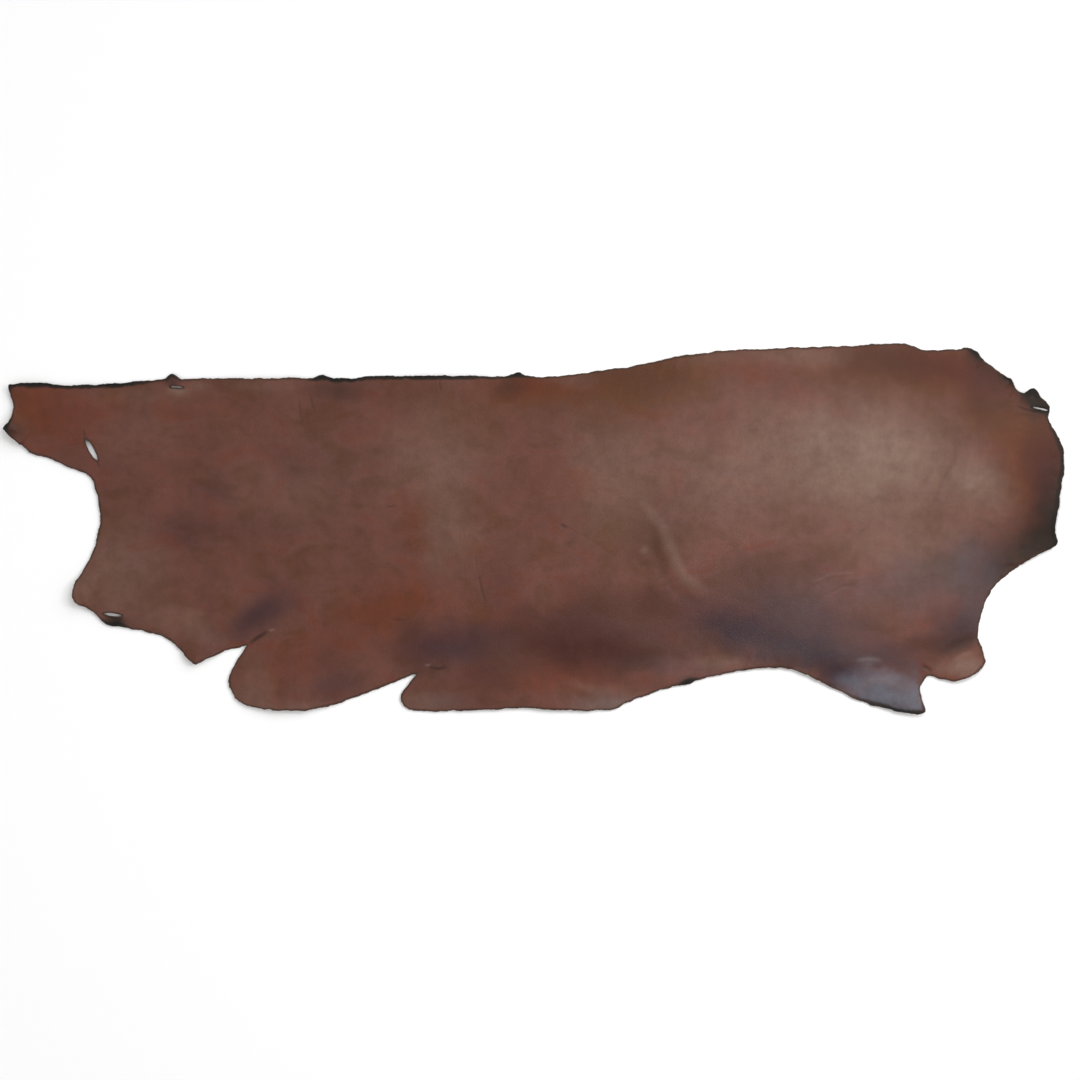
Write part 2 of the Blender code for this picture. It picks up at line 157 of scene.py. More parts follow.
CREASES = {
    "flank_crease_top": Crease(
        ((149.4, 36.6), (152.0, 39.6), (154.6, 43.0), (156.0, 46.2)),
        42,
        1.4,
        0.4,
    ),
    "flank_crease_foot": Crease(
        ((154.6, 43.0), (157.0, 48.8), (158.5, 52.6), (160.8, 55.9), (164.4, 58.4)),
        46,
        2.6,
        0.5,
    ),
    "flank_hollow": Crease(
        ((152.6, 44.4), (154.0, 50.6), (155.8, 55.0), (158.8, 58.8), (163.8, 61.4)),
        40,
        -1.2,
        -0.25,
    ),
    "flank_knuckle": Crease(((150.0, 48.2), (151.2, 49.8)), 38, 2.0, 0.4),
    "knuckle_hollow": Crease(((148.2, 50.0), (150.4, 52.2), (153.0, 52.0)), 22, -1.0, -0.2),
    "haunch_line": Crease(
        ((224.7, 23.9), (223.2, 29.0), (220.6, 34.0), (218.2, 40.0)),
        24,
        -1.4,
        -0.22,
    ),
    "haunch_crest": Crease(((222.6, 22.5), (220.8, 28.5), (218.0, 33.6), (214.8, 39.4)), 24, 0.9, 0.22),
    "haunch_knob": Crease(((226.2, 34.8), (228.6, 33.2), (232.6, 29.0)), 38, 2.2, 0.45),
    "rib_line": Crease(((112.0, 54.6), (112.6, 58.0), (113.6, 61.2)), 10, -0.9, -0.5),
    "rib_line_low": Crease(((111.0, 50.0), (111.6, 53.6)), 9, -0.5, -0.25),
    "shoulder_line_a": Crease(((69.6, 13.4), (70.0, 16.0), (70.4, 18.4)), 10, -0.9, -0.4),
    "shoulder_line_b": Crease(((72.4, 12.6), (73.2, 15.6)), 9, -0.8, -0.4),
    "back_nick": Crease(((102.7, 8.6), (103.1, 11.2)), 8, -0.8, -0.5),
    "rib_nick": Crease(((90.1, 38.6), (92.8, 38.4)), 7, -0.8, -0.5),
    "flank_nick": Crease(((91.6, 65.0), (94.4, 65.3)), 9, -0.8, -0.45),
    "flank_tick": Crease(((131.2, 42.8), (132.8, 43.4)), 10, -0.9, -0.8),
    "flank_tail": Crease(((132.8, 43.4), (138.6, 46.6), (144.6, 50.6)), 12, -0.3, -0.08),
    "short_notch_root": Crease(((58.0, 70.9), (59.6, 69.6), (62.4, 67.9)), 15, -1.8, -1.0),
    # a painted highlight on a small ridge past the notch's root
    "short_notch_highlight": Crease(((62.6, 67.7), (64.0, 67.5)), 8, 0.8, 1.0),
    "long_notch_root": Crease(((100.4, 76.3), (102.4, 76.7), (104.4, 76.4)), 11, -1.5, -0.9),
    # a painted highlight on a small ridge past the notch's root
    "long_notch_highlight": Crease(((99.4, 75.9), (100.6, 75.7)), 8, 0.8, 0.9),
    "thigh_wrinkle_a": Crease(((190.4, 56.6), (195.2, 54.6), (200.6, 54.2)), 14, 0.7, 0.14),
    "thigh_wrinkle_b": Crease(((193.4, 59.4), (198.0, 57.2), (203.4, 57.0)), 13, -0.6, -0.12),
    "hock_fold": Crease(((221.6, 73.4), (225.0, 71.2), (229.4, 69.6)), 44, -1.8, -0.35),
    "hock_fold_mouth": Crease(((216.4, 76.0), (218.6, 77.2)), 16, -1.6, -0.6),
    "hock_crest": Crease(((222.4, 75.6), (226.0, 73.4), (229.6, 72.6)), 30, 2.2, 0.25),
    # a painted highlight along a small ridge on the hind shank's end
    "tail_highlight_streak": Crease(((200.8, 74.9), (203.6, 74.5), (206.6, 74.9)), 16, 0.9, 0.25),
    "tail_crest": Crease(((200.4, 82.0), (204.6, 79.6), (210.4, 80.4), (214.6, 82.0)), 44, 2.4, 0.2),
    "tail_hollow": Crease(((202.0, 84.4), (207.0, 84.8), (212.6, 86.2)), 24, -1.6, -0.25),
    "tail_curl": Crease(((216.0, 80.6), (215.2, 83.4), (215.8, 86.0)), 18, 1.4, 0.35),
    "belly_ridge_a": Crease(((132.0, 79.6), (140.0, 82.4), (147.0, 82.0)), 40, 1.6, 0.25),
    "belly_ridge_b": Crease(((141.0, 74.4), (149.0, 72.6), (156.0, 74.4)), 60, -0.8, -0.08),
    "neck_slit_head": Crease(((19.0, 20.6), (19.5, 22.0)), 9, -0.8, -0.6),
    "neck_slit_foot": Crease(((22.2, 27.8), (22.7, 29.2)), 9, -0.8, -0.6),
    "fore_slit_lip": Crease(((24.0, 64.3), (25.8, 64.8), (28.4, 65.1)), 8, -0.4, -1.0),
    "butt_slit_cut": Crease(
        ((238.6, 14.8), (240.4, 15.6), (242.4, 16.3), (245.0, 16.6)),
        9,
        -0.8,
        -0.9,
    ),
}

# A lip is the side of a slit that was pulled up: left or right of the slit's own direction, by height
# in millimetres. closed is how much of the slit's width the leather draws together again.
Lip = namedtuple("Lip", "along down length width turn side height closed")

LIPS = {
    "neck_lip": Lip(20.8, 25.0, 8.0, 5.0, -61.0, 1, 2.4, 0.0),
    "withers_lip": Lip(40.9, 10.3, 5.0, 4.0, -2.0, 1, 4.0, 0.7),
    "butt_lip": Lip(243.9, 15.4, 6.0, 5.0, -12.0, 1, 4.5, 0.55),
    "fore_shank_lip": Lip(25.8, 63.8, 7.0, 5.0, -6.0, 1, 3.5, 0.2),
}

# A cloud is a soft-edged place of another tone: where the dye took differently, and in some tones
# painted sheen and painted shade. strength is how much of its tone it has, and turn is in degrees from
# the back line, counter-clockwise. The tones lie over each other in the order below. The first three
# are dye. The fourth is worn and stretched places with painted sheen and highlights, the fifth and
# sixth dark dye with painted shade, the seventh a painted grey sheen. The last, near-black, is the
# rim's: painted shadow along much of the cut.
Cloud = namedtuple("Cloud", "along down length width turn strength")

CLOUDS = {
    "olive": (
        (130.0, 10.0, 36.0, 18.0, 4.0, 1.0),
        (153.0, 8.5, 54.0, 19.0, 10.0, 1.0),
        (214.0, 6.0, 60.0, 18.0, 0.0, 1.0),
        (106.0, 50.0, 16.0, 12.0, 20.0, 0.3),
        (108.0, 17.0, 26.0, 18.0, 0.0, 0.5),
        (236.0, 55.0, 14.0, 16.0, 0.0, 0.4),
        (240.5, 29.0, 18.0, 34.0, 0.0, 0.8),
        (232.0, 17.0, 26.0, 13.0, -30.0, 0.8),
        (96.0, 12.0, 20.0, 10.0, 0.0, 0.4),
        (145.0, 41.0, 22.0, 20.0, 0.0, 0.65),
    ),
    "russet": (
        (10.5, 17.0, 34.0, 20.0, -12.0, 0.64),
        (25.0, 14.2, 18.0, 9.0, 5.0, 0.4),
        (45.0, 13.0, 30.0, 9.0, -4.0, 0.3),
        (127.0, 10.0, 34.0, 11.0, 3.0, 0.75),
        (133.0, 77.0, 30.0, 11.0, 0.0, 0.35),
        (95.0, 59.5, 36.0, 18.0, 10.0, 0.56),
        (84.0, 66.0, 30.0, 14.0, 20.0, 0.4),
        (60.0, 79.0, 16.0, 20.0, 0.0, 0.48),
        (70.0, 74.0, 22.0, 12.0, 20.0, 0.35),
        (224.6, 75.6, 22.0, 12.0, 20.0, 0.7),
        (241.0, 31.0, 15.0, 26.0, 10.0, 0.4),
        (234.0, 25.0, 14.0, 9.0, 40.0, 0.2),
        (19.0, 59.5, 13.0, 9.0, 0.0, 0.5),
        (125.0, 79.0, 30.0, 10.0, 0.0, 0.5),
        (176.0, 6.0, 40.0, 7.0, 4.0, 0.35),
        (138.0, 34.0, 30.0, 14.0, 0.0, 0.3),
        (110.0, 20.0, 26.0, 18.0, 0.0, 0.2),
        (215.0, 5.0, 32.0, 8.0, 0.0, 0.3),
        (44.0, 67.0, 24.0, 9.0, -22.0, 0.35),
        (96.0, 43.0, 12.0, 24.0, 0.0, 0.3),
        (24.0, 55.0, 22.0, 16.0, 0.0, 0.15),
        (97.0, 71.0, 26.0, 10.0, 0.0, 0.3),
        (139.0, 61.0, 28.0, 12.0, 0.0, 0.3),
        (116.0, 66.0, 32.0, 10.0, 0.0, 0.3),
        (228.0, 6.0, 32.0, 14.0, -12.0, 0.8),
    ),
    "oxblood": (
        (137.0, 8.0, 50.0, 10.0, 2.0, 0.35),
        (216.0, 4.5, 50.0, 14.0, -3.0, 0.6),
        (231.0, 9.5, 22.0, 15.0, -30.0, 0.7),
        (246.0, 36.0, 16.0, 40.0, 0.0, 1.0),
        (244.0, 26.0, 12.0, 16.0, 0.0, 0.4),
        (155.0, 65.0, 28.0, 14.0, 0.0, 0.3),
        (112.4, 80.6, 20.0, 12.0, 0.0, 0.25),
        (63.0, 80.0, 22.0, 14.0, 0.0, 0.15),
        (138.0, 70.2, 58.0, 19.0, 0.0, 0.95),
        (124.0, 68.0, 26.0, 13.0, 0.0, 0.3),
        (113.0, 76.0, 22.0, 12.0, -10.0, 0.55),
        (153.0, 61.0, 26.0, 8.0, -6.0, 0.6),
        (78.0, 75.5, 16.0, 9.0, 20.0, 0.3),
        (116.0, 58.0, 12.0, 18.0, 0.0, 0.3),
        (58.0, 43.0, 44.0, 10.0, 0.0, 0.25),
        (218.0, 70.5, 26.0, 6.0, 8.0, 0.6),
    ),
    # worn and stretched places, with painted sheen over the rump and painted highlights on ridges,
    # flaps' edges and beside the slits
    "pale_and_sheen": (
        (203.0, 26.0, 62.0, 32.0, -8.0, 0.9),
        (205.0, 28.0, 34.0, 24.0, 0.0, 0.6),
        (229.0, 33.5, 18.0, 22.0, 30.0, 0.6),
        (176.0, 30.0, 60.0, 34.0, 0.0, 0.45),
        (213.0, 46.0, 46.0, 24.0, 0.0, 0.45),
        (173.5, 3.4, 30.0, 5.0, 4.0, 0.2),
        (143.0, 32.0, 26.0, 34.0, 10.0, 0.45),
        (104.0, 24.0, 34.0, 30.0, 10.0, 0.35),
        (32.0, 22.0, 24.0, 18.0, 0.0, 0.15),
        (104.0, 45.0, 18.0, 30.0, 0.0, 0.4),
        (42.0, 66.5, 26.0, 10.0, -22.0, 0.45),
        (18.5, 58.0, 10.0, 10.0, 0.0, 0.35),
        (59.0, 78.5, 12.0, 16.0, 0.0, 0.35),
        (189.0, 3.2, 26.0, 7.0, 0.0, 0.35),
        (35.0, 12.4, 40.0, 7.0, 0.0, 0.25),
        (135.0, 8.4, 16.0, 7.0, 0.0, 0.3),
        (96.0, 32.0, 30.0, 20.0, 0.0, 0.15),
        (70.0, 34.0, 44.0, 30.0, 0.0, 0.18),
        (26.0, 54.0, 32.0, 28.0, 40.0, 0.45),
        (143.0, 85.2, 26.0, 6.0, 6.0, 0.7),
        (101.0, 84.6, 20.0, 6.0, 0.0, 0.6),
        (68.0, 86.0, 30.0, 5.0, 4.0, 0.35),
        (172.0, 75.0, 24.0, 4.0, 4.0, 0.4),
        (58.5, 83.5, 14.0, 8.0, 0.0, 0.4),
        (40.9, 11.4, 6.0, 2.4, -2.0, 0.9),
        (46.0, 10.2, 8.0, 3.0, 0.0, 0.4),
        (62.0, 10.0, 20.0, 4.0, 0.0, 0.3),
        (225.0, 75.6, 14.0, 7.0, 20.0, 0.7),
        (228.0, 76.5, 8.0, 6.0, 20.0, 0.5),
        (228.0, 33.6, 4.0, 2.4, 20.0, 0.6),
    ),
    # warm dark dye, with painted shade along the rump's rim and painted shadow in the fold over the
    # hock
    "umber_and_shade": (
        (247.5, 47.0, 22.0, 13.0, 28.0, 1.0),
        (238.0, 52.0, 30.0, 11.0, 34.0, 0.7),
        (249.6, 33.0, 9.0, 52.0, 0.0, 0.3),
        (246.5, 42.0, 12.0, 24.0, 0.0, 0.75),
        (244.0, 13.0, 13.0, 9.0, -30.0, 0.8),
        (237.0, 10.0, 26.0, 7.0, -36.0, 0.25),
        (231.0, 4.5, 14.0, 6.0, -30.0, 0.5),
        (150.0, 74.5, 24.0, 8.0, 6.0, 0.3),
        (223.5, 71.0, 14.0, 6.0, 24.0, 0.6),
        (76.0, 28.0, 24.0, 18.0, 0.0, 0.12),
        (178.0, 55.0, 36.0, 16.0, 0.0, 0.35),
        (1.2, 20.5, 9.0, 6.0, -20.0, 0.7),
        (120.0, 10.4, 14.0, 7.0, 0.0, 0.45),
        (79.0, 10.5, 18.0, 7.0, 0.0, 0.5),
        (139.0, 60.0, 20.0, 12.0, 0.0, 0.42),
        (153.0, 44.0, 18.0, 24.0, 0.0, 0.25),
        (221.0, 53.5, 44.0, 14.0, 10.0, 0.35),
        (189.0, 61.0, 36.0, 12.0, 0.0, 0.18),
        (235.0, 50.5, 28.0, 18.0, 40.0, 0.45),
        (215.0, 5.0, 32.0, 8.0, 0.0, 0.12),
        (236.6, 8.0, 6.8, 5.0, -30.0, 1.0),
        (229.4, 2.4, 6.8, 4.0, -30.0, 0.9),
        (242.0, 12.2, 6.8, 6.0, -20.0, 1.0),
        (75.0, 7.2, 6.8, 3.0, 0.0, 1.0),
        (121.0, 6.8, 6.8, 3.0, 0.0, 1.0),
        (161.2, 80.2, 6.0, 4.0, 20.0, 1.0),
        (26.4, 65.8, 6.9, 3.4, -4.0, 1.0),
    ),
    # cold dark dye, with painted shade in the belly's valley below the rump's swell and at the notches
    "slate_and_shade": (
        (63.0, 63.2, 20.0, 11.0, 28.0, 0.65),
        (59.0, 65.2, 14.0, 8.0, 20.0, 0.4),
        (101.5, 71.4, 26.0, 14.0, 0.0, 0.72),
        (111.5, 70.2, 26.0, 10.0, 8.0, 0.45),
        (136.0, 64.5, 30.0, 8.0, 0.0, 0.2),
        (171.5, 67.0, 28.0, 12.0, -4.0, 1.0),
        (183.0, 69.2, 32.0, 13.0, -14.0, 0.85),
        (182.0, 73.0, 30.0, 9.0, -4.0, 0.6),
        (193.0, 74.0, 30.0, 13.0, -28.0, 1.0),
        (196.5, 79.0, 18.0, 9.0, -34.0, 0.85),
        (207.0, 75.6, 34.0, 11.0, 0.0, 0.7),
        (208.0, 86.0, 30.0, 5.0, -14.0, 0.9),
        (195.0, 66.6, 40.0, 11.0, -21.0, 0.6),
        (226.5, 65.5, 18.0, 14.0, 20.0, 0.8),
        (168.0, 71.5, 22.0, 7.0, 6.0, 0.45),
        (176.0, 62.0, 34.0, 11.0, -4.0, 0.4),
        (66.0, 27.0, 16.0, 11.0, 0.0, 0.2),
        (49.0, 34.5, 16.0, 9.0, 0.0, 0.28),
        (42.0, 43.0, 22.0, 9.0, 0.0, 0.25),
        (79.0, 81.0, 18.0, 8.0, 20.0, 0.4),
        (104.0, 84.5, 18.0, 5.0, 0.0, 0.3),
        (39.8, 8.8, 6.0, 4.0, 0.0, 0.6),
    ),
    # painted grey sheen on the hind shank's end, and a fainter painted sheen on greyer places beside it
    "grey_sheen": (
        (208.5, 84.2, 28.0, 12.0, -8.0, 1.0),
        (211.0, 84.5, 20.0, 10.0, 0.0, 0.9),
        (199.5, 80.2, 9.0, 4.0, -20.0, 0.5),
        (206.0, 82.6, 20.0, 9.0, -8.0, 0.9),
        (203.6, 75.0, 7.0, 2.4, 0.0, 0.4),
        (214.4, 80.5, 5.0, 12.0, 0.0, 0.4),
        (229.0, 55.0, 20.0, 22.0, 40.0, 0.32),
        (212.0, 58.0, 28.0, 20.0, 0.0, 0.18),
        (50.0, 70.0, 18.0, 8.0, -30.0, 0.1),
        (190.0, 60.5, 42.0, 14.0, 0.0, 0.13),
        (232.0, 63.0, 18.0, 10.0, 0.0, 0.12),
        (164.0, 77.6, 44.0, 7.0, -6.0, 0.12),
        (143.0, 85.0, 26.0, 7.0, 0.0, 0.2),
    ),
    # near-black: painted shadow along much of the cut and under the slits' lips, and black at the ear
    # nubs
    "black_and_shadow": (
        (8.0, 10.0, 30.0, 6.0, 0.0, 1.0),
        (26.0, 9.8, 30.0, 6.0, 0.0, 1.0),
        (98.0, 7.6, 54.0, 5.0, 0.0, 1.0),
        (39.8, 8.0, 5.6, 4.4, 0.0, 0.75),
        (75.0, 7.6, 8.0, 4.0, 0.0, 1.0),
        (121.0, 7.2, 9.0, 4.0, 0.0, 1.0),
        (229.0, 2.2, 8.0, 5.0, -50.0, 0.9),
        (236.6, 8.5, 6.0, 4.0, -40.0, 1.0),
        (242.2, 12.0, 8.0, 6.0, -20.0, 1.0),
        (161.2, 80.0, 6.0, 4.0, 20.0, 1.0),
        (0.6, 19.6, 6.0, 6.0, 0.0, 1.0),
        (26.5, 66.0, 9.0, 4.0, 0.0, 1.0),
        (201.5, 82.4, 18.0, 4.0, -32.0, 0.35),
        (210.5, 86.4, 20.0, 6.0, -8.0, 1.0),
        (248.0, 44.0, 10.0, 18.0, 0.0, 0.9),
        (249.0, 32.0, 16.0, 52.0, 0.0, 0.7),
        (79.5, 8.4, 16.0, 5.0, 0.0, 1.0),
        (244.5, 15.4, 7.0, 4.0, -12.0, 1.0),
    ),
}


def length_setting(name, description, default):
    return bpy.props.FloatProperty(name=name, description=description, default=default, unit="LENGTH")


def colour_setting(name, description, default):
    return bpy.props.FloatVectorProperty(
        name=name, description=description, default=default, subtype="COLOR"
    )


class LeatherSizes(bpy.types.PropertyGroup):
    """Sizes of the sheet and of its surface."""

    thickness: length_setting("Thickness", "Thickness of the leather", 0.0025)
    square: length_setting("Square", "Side of the mesh's squares", 0.0088)
    swell_height: length_setting("Swell height", "Height of the slow unevenness", 0.0022)
    swell_pitch: length_setting("Swell pitch", "Distance between slow swells", 0.17)
    edge_fray: length_setting("Edge fray", "Raggedness of the knife's cut", 0.0027)
    rim_width: length_setting("Rim width", "Width of the dark rim of the grain", 0.0064)
    cloud_drift: length_setting("Cloud drift", "How far the dye ran out of its clouds", 0.028)
    pebble: length_setting("Pebble size", "Distance between pebbles of the grain", 0.0022)
    grain_depth: length_setting("Grain depth", "Depth of the grain between pebbles", 0.00022)


class LeatherColours(bpy.types.PropertyGroup):
    """Colours of the dyes and of their painted sheen and shade, the cut edge and the flesh side."""

    brown: colour_setting("Brown", "Ground colour", (0.124, 0.0465, 0.0345))
    russet: colour_setting("Russet", "Redder clouds", (0.138, 0.028, 0.008))
    olive: colour_setting("Olive", "Yellower clouds", (0.086, 0.028, 0.006))
    slate_and_shade: colour_setting("Slate", "Cold dark clouds", (0.031, 0.014, 0.019))
    # cold dark dye, also painted shade in the belly's valley and at the notches
    umber_and_shade: colour_setting("Umber", "Warm dark clouds", (0.018, 0.009, 0.005))
    # warm dark dye, also painted shade in clouds and in the creases' hollows; the pores take it too
    oxblood: colour_setting("Oxblood", "Red dark clouds", (0.050, 0.011, 0.007))
    # painted grey sheen of the hind shank's end, not a worn colour
    grey_sheen: colour_setting("Steel", "Grey worn end of the hind shank", (0.104, 0.100, 0.122))
    # worn and stretched places, and painted sheen and highlights; the creases' ridges take it as
    # painted highlight
    pale_and_sheen: colour_setting("Pale", "Worn and stretched places", (0.176, 0.104, 0.078))
    # near-black: painted shadow along much of the cut and under the slits' lips, black at the ear nubs,
    # and the cut edge's dark patches
    black_and_shadow: colour_setting("Scorch", "Hardened dark rim", (0.006, 0.005, 0.004))
    edge: colour_setting("Cut edge", "Fibres of the cut", (0.045, 0.025, 0.016))
    flesh: colour_setting("Flesh side", "Fibres of the underside", (0.210, 0.115, 0.072))


class StudioSettings(bpy.types.PropertyGroup):
    """The floor, the lights and the camera."""

    floor: colour_setting("Floor", "Colour of the floor", (0.97, 0.97, 0.97))
    fill: bpy.props.FloatProperty(
        name="Fill", description="Strength of the light all round", default=0.42
    )
    main: bpy.props.FloatProperty(
        name="Main light", description="Strength of the light from the back's right end", default=1.75
    )
    counter: bpy.props.FloatProperty(
        name="Counter light", description="Strength of the light from the neck's side", default=1.0
    )
    sheen: bpy.props.FloatProperty(
        name="Sheen light", description="Power of the panel over the rump", default=8.0, unit="POWER"
    )
    camera_height: length_setting("Camera height", "Camera over the floor", 7.5)


def colour(rgb):
    """A colour with the alpha that a shader's socket takes."""
    return (*rgb, 1.0)


# The sheet


def bench_points(table_rows):
    """Places in centimetres on the bench as metres on the hide, from its box's back corner."""
    places = np.array(table_rows, dtype=float) * CM
    return np.column_stack([places[:, 0] + LOW[0], HIGH[1] - places[:, 1]])


def bump(t):
    """A soft hill: 1 in its middle, and level with the ground at 1 and beyond."""
    return 0.5 * (1 + np.cos(np.pi * np.minimum(np.abs(t), 1.0)))


def turned(points, centre, turn):
    """Distances of points from a centre along and across a direction in degrees."""
    away = points - centre
    turn = math.radians(turn)
    along = away[:, 0] * math.cos(turn) + away[:, 1] * math.sin(turn)
    across = away[:, 1] * math.cos(turn) - away[:, 0] * math.sin(turn)
    return along, across


def distance_to_path(points, path):
    """How far points are from a line of places, and how far along it they are, from 0 to 1."""
    corners = bench_points(path)
    spans = [np.hypot(*(b - a)) for a, b in zip(corners, corners[1:])]
    starts = np.concatenate([[0.0], np.cumsum(spans)])
    nearest = np.full(len(points), np.inf)
    share = np.zeros(len(points))
    for a, b, span, start in zip(corners, corners[1:], spans, starts):
        run = (b - a) / span
        t = np.clip((points - a) @ run, 0.0, span)
        gap = np.hypot(*(points - a - t[:, None] * run).T)
        closer = gap < nearest
        nearest = np.where(closer, gap, nearest)
        share = np.where(closer, (start + t) / starts[-1], share)
    return nearest, share


def crease_share(crease, points):
    """How far up a crease points are, from 0 beside it to 1 on its line."""
    gap, share = distance_to_path(points, crease.path)
    taper = 1 - np.abs(2 * share - 1) ** 3 * CREASE_END_DROP
    return bump(gap / (crease.width / 2 / MM_IN_METRE)) * taper


def flat_places(work):
    return np.array([(vertex.co.x, vertex.co.y) for vertex in work.verts])


def beside_slit(place, reach):
    """Whether a place is within reach of the middle of a slit."""
    slits = bench_points([(lip.along, lip.down) for lip in LIPS.values()])
    return bool(np.min(np.hypot(*(slits - np.array(place)).T)) < reach)


def soften_cut(work):
    """Halves the straight stretches of the outline and rounds the corners between them."""
    rim = [edge for edge in work.edges if edge.is_boundary]
    bmesh.ops.subdivide_edges(work, edges=rim, cuts=1)
    inner = [vertex for vertex in work.verts if not vertex.is_boundary]
    slit_verts = {vertex for vertex in work.verts if beside_slit(vertex.co.to_2d(), SLIT_GUARD)}
    for _ in range(CUT_ROUNDS):
        moves = []
        for vertex in work.verts:
            ends = [edge.other_vert(vertex).co for edge in vertex.link_edges if edge.is_boundary]
            if ends and vertex not in slit_verts:
                middle = sum(ends, Vector()) / len(ends)
                moves.append((vertex, (middle - vertex.co) * CORNER_PULL))
        for vertex, move in moves:
            vertex.co += move
        bmesh.ops.smooth_vert(work, verts=inner, factor=0.5, use_axis_x=True, use_axis_y=True)


def chequered(work, pitch):
    """Cuts a flat sheet into squares, and takes out the edges inside them, except beside the slits."""
    for axis, normal in ((0, (1, 0, 0)), (1, (0, 1, 0))):
        for step in range(1, math.ceil((HIGH[axis] - LOW[axis]) / pitch)):
            point = [0.0, 0.0, 0.0]
            point[axis] = LOW[axis] + step * pitch
            cut = bmesh.ops.bisect_plane(
                work,
                geom=work.verts[:] + work.edges[:] + work.faces[:],
                plane_co=point,
                plane_no=normal,
                dist=MERGE / 10,
            )
            for part in cut["geom_cut"]:
                if isinstance(part, bmesh.types.BMEdge):
                    part.seam = True
    old = []
    for edge in work.edges:
        if not (edge.is_boundary or edge.seam or beside_slit(edge.verts[0].co.to_2d(), pitch)):
            old.append(edge)
    bmesh.ops.dissolve_edges(work, edges=old, use_verts=False)
    idle = [vertex for vertex in work.verts if len(vertex.link_edges) == 2 and not vertex.is_boundary]
    bmesh.ops.dissolve_verts(work, verts=idle)
    bmesh.ops.dissolve_degenerate(work, edges=work.edges, dist=SHORTEST_EDGE)
    bmesh.ops.triangulate(work, faces=[face for face in work.faces if len(face.verts) > 4])
    for edge in work.edges:
        edge.seam = False


def grain_layer(sizes):
    """The top face of the solid, as fine squares, with its facets smoothed away."""
    work = bmesh.new()
    work.from_mesh(bpy.data.objects[NODE].data)
    bmesh.ops.remove_doubles(work, verts=work.verts, dist=MERGE)
    work.normal_update()
    under = [face for face in work.faces if face.normal.z < TOP_FACES]
    bmesh.ops.delete(work, geom=under, context="FACES")
    for _ in range(FACET_ROUNDS):
        bmesh.ops.smooth_vert(work, verts=work.verts, factor=0.5, use_axis_z=True)
    top = BVHTree.FromBMesh(work)
    for vertex in work.verts:
        vertex.co.z = 0.0
    soften_cut(work)
    chequered(work, sizes.square * (FINE_CUTS + 1))
    bmesh.ops.subdivide_edges(work, edges=work.edges, cuts=FINE_CUTS, use_grid_fill=True)
    for vertex in work.verts:
        above = Vector((vertex.co.x, vertex.co.y, 1.0))
        place = top.ray_cast(above, Vector((0.0, 0.0, -1.0)))[0] or top.find_nearest(vertex.co)[0]
        vertex.co.z = place.z
    for _ in range(SHEET_ROUNDS):
        bmesh.ops.smooth_vert(work, verts=work.verts, factor=0.5, use_axis_z=True)
    return work


def cut_finer_at_creases(work):
    """Quarters the squares in the creases, and once more in the narrow ones."""
    for widest, margin, longest in FINER_AT_CREASES:
        middles = np.array([face.calc_center_median().to_2d() for face in work.faces])
        inside = np.zeros(len(middles), dtype=bool)
        for crease in CREASES.values():
            if crease.width < widest:
                gap, _ = distance_to_path(middles, crease.path)
                inside |= gap < crease.width / 2 / MM_IN_METRE + margin
        chosen = set()
        for face, wanted in zip(work.faces, inside):
            if wanted and max(edge.calc_length() for edge in face.edges) > longest:
                chosen.update(face.edges)
        edges = [edge for edge in work.edges if edge in chosen]
        bmesh.ops.subdivide_edges(work, edges=edges, cuts=1, use_grid_fill=True)
        bmesh.ops.triangulate(work, faces=[face for face in work.faces if len(face.verts) > 4])
    bmesh.ops.dissolve_degenerate(work, edges=work.edges, dist=SHORTEST_FINE_EDGE)
    for _ in range(CREASE_ROUNDS):
        bmesh.ops.smooth_vert(work, verts=work.verts, factor=0.5, use_axis_z=True)


def fray_edge(work, fray, distance):
    """Makes the outline as ragged as a knife leaves it, and moves the leather near it along."""
    for vertex, gap in zip(work.verts, distance):
        here = vertex.co
        coarse = noise.noise_vector(here / FRAY_PITCH) * fray
        fine = noise.noise_vector(here / FINE_FRAY_PITCH) * fray * FINE_FRAY_SHARE
        share = bump(gap / FRAY_REACH)
        if beside_slit(here.to_2d(), SLIT_FRAY_GUARD):
            share *= SLIT_FRAY_SHARE
        vertex.co += Vector((coarse.x + fine.x, coarse.y + fine.y, 0.0)) * share


def draw_slits_together(work):
    """Moves the leather beside each slit towards the slit's middle line."""
    places = flat_places(work)
    for lip in LIPS.values():
        centre = bench_points([(lip.along, lip.down)])[0]
        along, across = turned(places, centre, lip.turn)
        lengthwise = bump(along / (lip.length * CM * DRAWN_LENGTH))
        share = lip.closed * lengthwise * bump(across / (lip.width * CM * DRAWN_WIDTH))
        turn = math.radians(lip.turn)
        for vertex, shift in zip(work.verts, across * share):
            vertex.co += Vector((math.sin(turn), -math.cos(turn), 0.0)) * shift


def unfold(work):
    """Spreads the leather out again where moving the cut turned a small face over."""
    for _ in range(UNFOLD_ROUNDS):
        work.normal_update()
        folded = {vertex for face in work.faces if face.normal.z < TURNED_OVER for vertex in face.verts}
        if not folded:
            break
        near = [vertex for vertex in work.verts if vertex in folded]
        bmesh.ops.smooth_vert(work, verts=near, factor=0.5, use_axis_x=True, use_axis_y=True)


